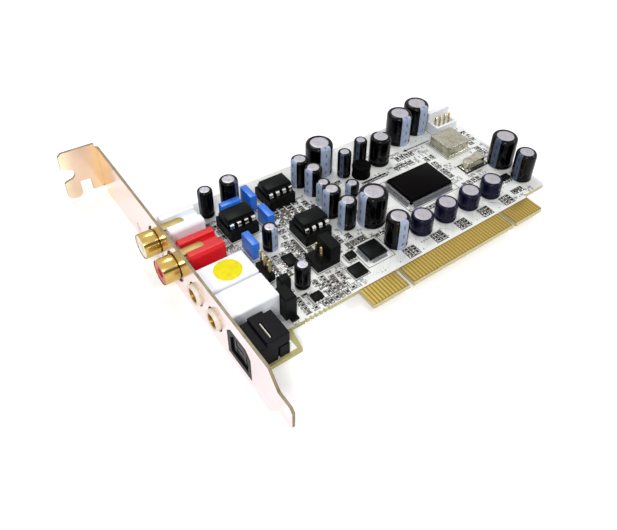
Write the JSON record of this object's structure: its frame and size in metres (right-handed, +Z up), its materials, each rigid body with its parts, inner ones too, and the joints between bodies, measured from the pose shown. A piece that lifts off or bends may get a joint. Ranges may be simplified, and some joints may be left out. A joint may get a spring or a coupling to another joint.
{
  "type": "computer sound card",
  "caption": "Computer sound card: white circuit board with gold edge contacts, metal rear bracket with phono, jack and optical sockets, socketed amplifiers, capacitors and chips.",
  "frame": {"origin": "middle of the bounding box's lowest face; the card lies component side up on its bracket's long edge", "axes": "+X from the rear bracket's outer face into the computer, +Y from the edge contacts to the card's top edge, +Z up from the component side"},
  "size_m": [0.1448, 0.12, 0.0201],
  "materials": {
    "chip_black": "moulded package, tinned leads",
    "socket_black": "moulded",
    "black_plastic": "moulded",
    "bracket_metal": "pale gold passivated, bright",
    "screw_metal": "zinc plated",
    "can_sleeve": "black shrink sleeve with a pale stripe, bare aluminium top",
    "chip_part": "fired, tinned ends",
    "ferrite": "sleeved",
    "board": "white solder mask, satin",
    "crystal_can": "nickel plated, bright",
    "gold_contact": "gold plated",
    "film_blue": "dipped",
    "navy_sleeve": "navy shrink sleeve with a pale stripe, bare aluminium top",
    "gold_shell": "gold plated, bright",
    "white_housing": "moulded",
    "tinned": "tinned",
    "plated_can": "nickel plated, satin",
    "red_housing": "moulded",
    "red_insert": "moulded",
    "white_insert": "moulded",
    "yellow_label": "printed, gloss"
  },
  "bodies": {
    "root": {"amplifier_1": "chip_black", "amplifier_2": "chip_black", "amplifier_3": "chip_black", "amplifier_socket_1": "socket_black", "amplifier_socket_2": "socket_black", "amplifier_socket_3": "socket_black", "backed_header": "black_plastic", "bracket": "bracket_metal", "bracket_screw": "screw_metal", "capacitor_01": "can_sleeve", "capacitor_02": "can_sleeve", "capacitor_03": "can_sleeve", "capacitor_04": "can_sleeve", "capacitor_05": "can_sleeve", "capacitor_06": "can_sleeve", "capacitor_07": "can_sleeve", "capacitor_08": "can_sleeve", "capacitor_09": "can_sleeve", "capacitor_10": "can_sleeve", "capacitor_11": "can_sleeve", "capacitor_12": "can_sleeve", "capacitor_13": "can_sleeve", "capacitor_14": "can_sleeve", "capacitor_15": "can_sleeve", "capacitor_16": "can_sleeve", "capacitor_17": "can_sleeve", "capacitor_18": "can_sleeve", "capacitor_19": "can_sleeve", "capacitor_20": "can_sleeve", "chip_parts": "chip_part", "choke": "ferrite", "circuit_board": "board", "controller_chip": "chip_black", "converter_chip": "chip_black", "crystal": "crystal_can", "edge_contacts": "gold_contact", "film_capacitors": "film_blue", "flat_capacitors": "navy_sleeve", "header_pins": "gold_contact", "jack_bushing_lower": "gold_shell", "jack_bushing_upper": "gold_shell", "jack_housing_lower": "white_housing", "jack_housing_upper": "white_housing", "lead_ends": "tinned", "optical_housing": "black_plastic", "optical_plug": "black_plastic", "oscillator": "plated_can", "phono_housing_lower": "red_housing", "phono_housing_upper": "white_housing", "phono_insert_lower": "red_insert", "phono_insert_upper": "white_insert", "phono_shell_lower": "gold_shell", "phono_shell_upper": "gold_shell", "plain_header": "black_plastic", "power_header": "white_housing", "round_label": "yellow_label", "short_header": "black_plastic", "small_chips": "chip_black", "tall_header": "black_plastic"}
  },
  "joints": []
}
